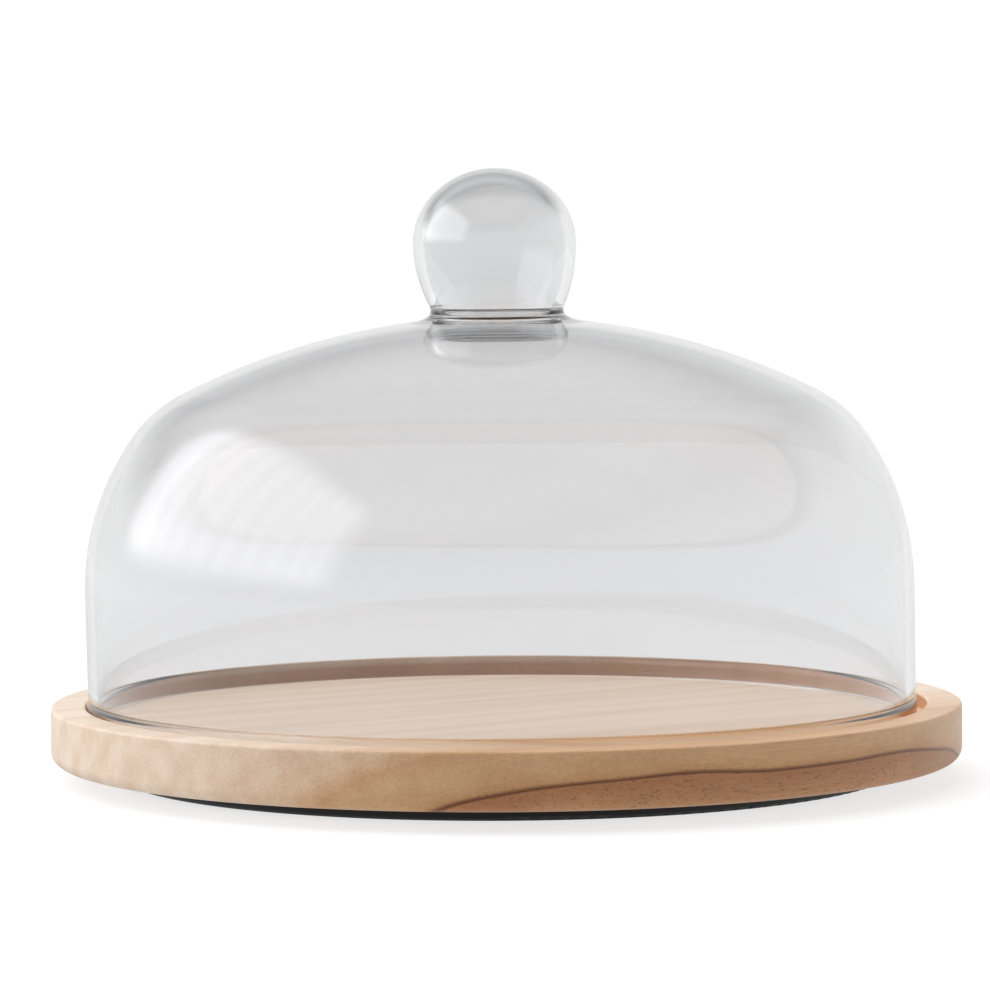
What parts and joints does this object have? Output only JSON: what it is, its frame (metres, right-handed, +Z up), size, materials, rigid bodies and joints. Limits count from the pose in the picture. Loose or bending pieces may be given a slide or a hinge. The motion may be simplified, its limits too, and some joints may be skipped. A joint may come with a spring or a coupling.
{
  "type": "bell jar dome",
  "caption": "Glass cloche with a hollow ball knob, standing in the recess of a round wooden board that turns on a low black ball-bearing base.",
  "frame": {"origin": "on the turning axis, level with the surface under the rubber feet", "axes": "+Z up along the turning axis; +X towards the first rubber foot and the first rivet"},
  "size_m": [0.3, 0.3, 0.1999],
  "materials": {
    "glass": "clear blown soda-lime glass, fire-polished",
    "collar_glass": "clear thick glass, faint green in depth",
    "wood": "pale softwood, sanded and lightly oiled",
    "base_plastic": "black moulded plastic, satin",
    "pressed_steel": "zinc-plated pressed steel sheet",
    "screw_steel": "zinc-plated steel",
    "ball_steel": "polished bearing steel",
    "cage_nylon": "natural nylon",
    "rubber": "dark grey anti-slip rubber"
  },
  "bodies": {
    "base": {"turntable_base": "base_plastic", "lower_race": "pressed_steel", "base_rivets": "screw_steel", "rubber_foot_1": "rubber", "rubber_foot_2": "rubber", "rubber_foot_3": "rubber", "rubber_foot_4": "rubber", "rubber_foot_5": "rubber", "rubber_foot_6": "rubber"},
    "cage": {"ball_cage": "cage_nylon", "bearing_ball_01": "ball_steel", "bearing_ball_02": "ball_steel", "bearing_ball_03": "ball_steel", "bearing_ball_04": "ball_steel", "bearing_ball_05": "ball_steel", "bearing_ball_06": "ball_steel", "bearing_ball_07": "ball_steel", "bearing_ball_08": "ball_steel", "bearing_ball_09": "ball_steel", "bearing_ball_10": "ball_steel", "bearing_ball_11": "ball_steel", "bearing_ball_12": "ball_steel", "bearing_ball_13": "ball_steel", "bearing_ball_14": "ball_steel", "bearing_ball_15": "ball_steel", "bearing_ball_16": "ball_steel", "bearing_ball_17": "ball_steel", "bearing_ball_18": "ball_steel"},
    "board": {"wooden_board": "wood", "upper_race": "pressed_steel", "board_screws": "screw_steel"},
    "dome": {"glass_dome": "glass", "weld_collar": "collar_glass", "glass_knob": "glass"}
  },
  "joints": [
    {"name": "board_spin", "type": "hinge", "parent": "base", "child": "board", "pos_m": [0, 0, 0.0069], "axis": [0, 0, 1], "continuous": true},
    {"name": "cage_spin", "type": "hinge", "parent": "base", "child": "cage", "pos_m": [0, 0, 0.0069], "axis": [0, 0, 1], "continuous": true},
    {"name": "dome_lift", "type": "slide", "parent": "board", "child": "dome", "axis": [0, 0, 1], "range_m": [0, 0.2]}
  ],
  "couplings": [
    {"joint": "cage_spin", "follows": "board_spin", "ratio": 0.5}
  ]
}
